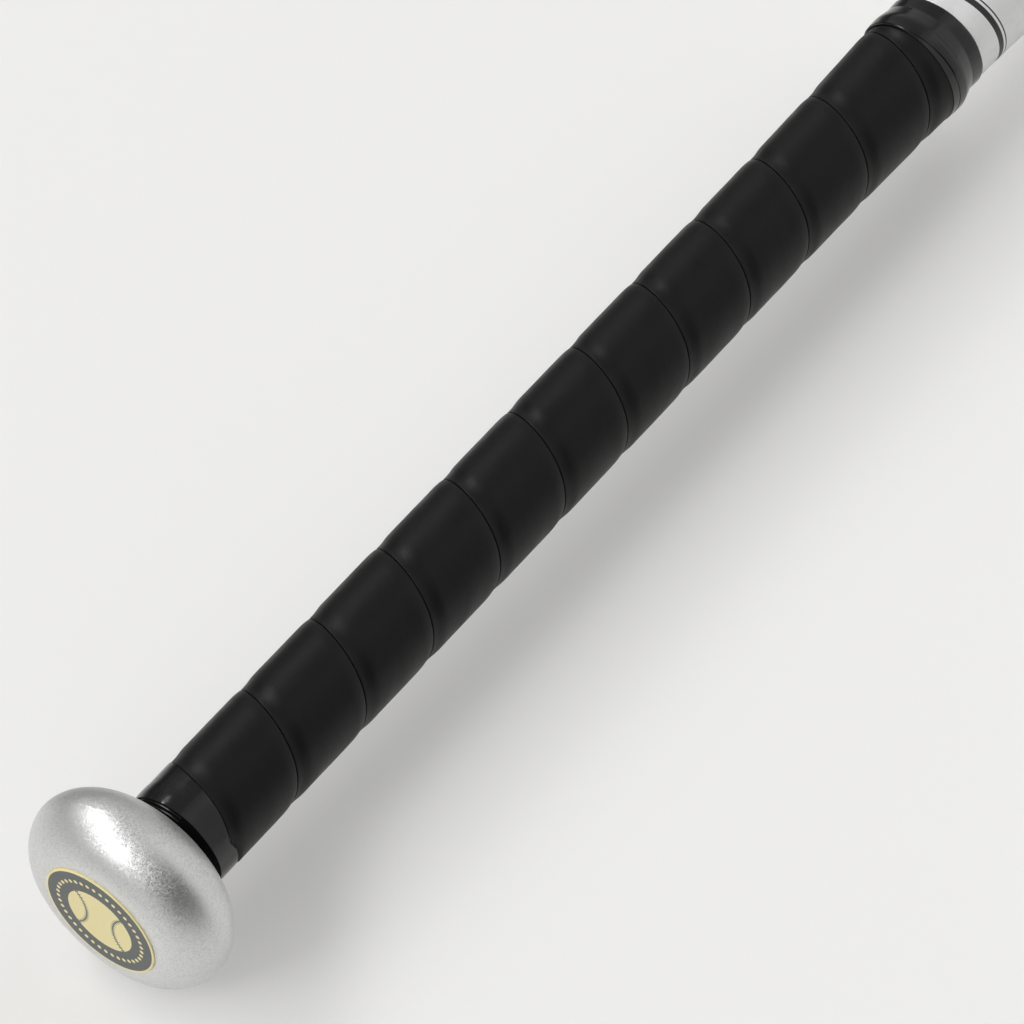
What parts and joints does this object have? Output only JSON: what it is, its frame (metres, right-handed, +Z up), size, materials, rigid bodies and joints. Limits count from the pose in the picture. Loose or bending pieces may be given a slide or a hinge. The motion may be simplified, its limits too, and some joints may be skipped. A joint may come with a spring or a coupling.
{
  "type": "softball bat",
  "caption": "Alloy softball bat with a round knob, a spiral-wrapped grip taped at both ends, a long tapered barrel and a snap-in end cap.",
  "frame": {"origin": "on the ground below the middle of the bat, which lies flat with the underside of its barrel at Z = 0", "axes": "+X along the bat from the knob to the barrel's end, +Z up, +Y across the bat"},
  "size_m": [0.838, 0.0568, 0.0569],
  "materials": {
    "tube": "satin silver",
    "knob": "silver metal-flake paint",
    "weld": "dull weld bead",
    "badge": "printed film with a cream rim",
    "leather": "matt black grained strip",
    "tape": "glossy black vinyl tape",
    "cap": "matt black moulding",
    "foam": "grey foam"
  },
  "bodies": {
    "root": {"bat_tube": "tube", "knob": "knob", "knob_weld": "weld", "knob_badge": "badge", "grip_wrap": "leather", "finish_tape_knob": "tape", "finish_tape_top": "tape", "end_cap": "cap", "barrel_damper": "foam"}
  },
  "joints": []
}
